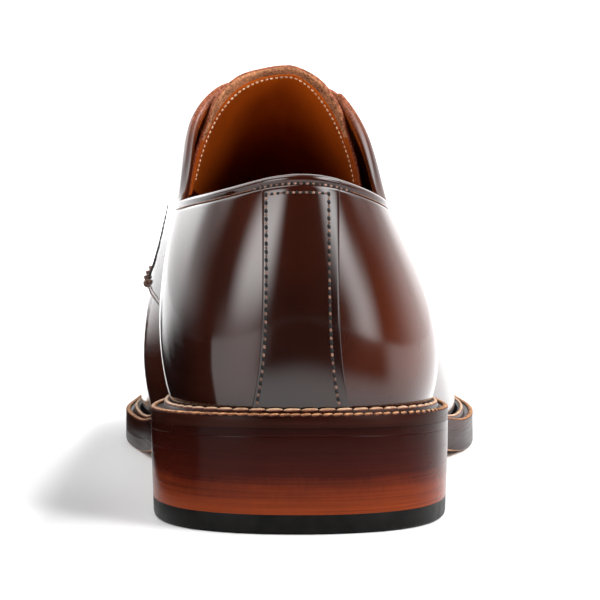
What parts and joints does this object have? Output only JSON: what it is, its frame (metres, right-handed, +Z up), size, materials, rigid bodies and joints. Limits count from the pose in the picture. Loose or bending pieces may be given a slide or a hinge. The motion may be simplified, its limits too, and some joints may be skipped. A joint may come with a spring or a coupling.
{
  "type": "derby shoe",
  "caption": "Right-foot men's derby shoe in polished brown leather: open-laced quarters over a plain vamp, back strip, stitched welt, leather sole and stacked heel.",
  "frame": {"origin": "middle of the shoe's outline, on the floor", "axes": "+Y towards the toe, +X towards the lateral side, +Z up"},
  "size_m": [0.1058, 0.304, 0.1144],
  "materials": {
    "calf_brown": "polished",
    "lining_tan": "satin",
    "sole_leather": "burnished",
    "heel_leather": "burnished",
    "rubber_black": "matte",
    "eyelet_bronze": "satin",
    "lace_brown": "waxed"
  },
  "bodies": {
    "root": {"outsole": "sole_leather", "welt": "sole_leather", "heel_lift_1": "heel_leather", "heel_lift_2": "heel_leather", "heel_lift_3": "heel_leather", "heel_top_piece": "rubber_black", "insole": "lining_tan", "upper": "calf_brown", "backstay": "calf_brown", "tongue": "calf_brown", "eyelet_lateral_1": "eyelet_bronze", "eyelet_medial_1": "eyelet_bronze", "eyelet_lateral_2": "eyelet_bronze", "eyelet_medial_2": "eyelet_bronze", "eyelet_lateral_3": "eyelet_bronze", "eyelet_medial_3": "eyelet_bronze", "eyelet_lateral_4": "eyelet_bronze", "eyelet_medial_4": "eyelet_bronze", "eyelet_lateral_5": "eyelet_bronze", "eyelet_medial_5": "eyelet_bronze", "lace_bar_1": "lace_brown", "lace_bar_2": "lace_brown", "lace_bar_3": "lace_brown", "lace_bar_4": "lace_brown", "lace_bar_5": "lace_brown"}
  },
  "joints": []
}
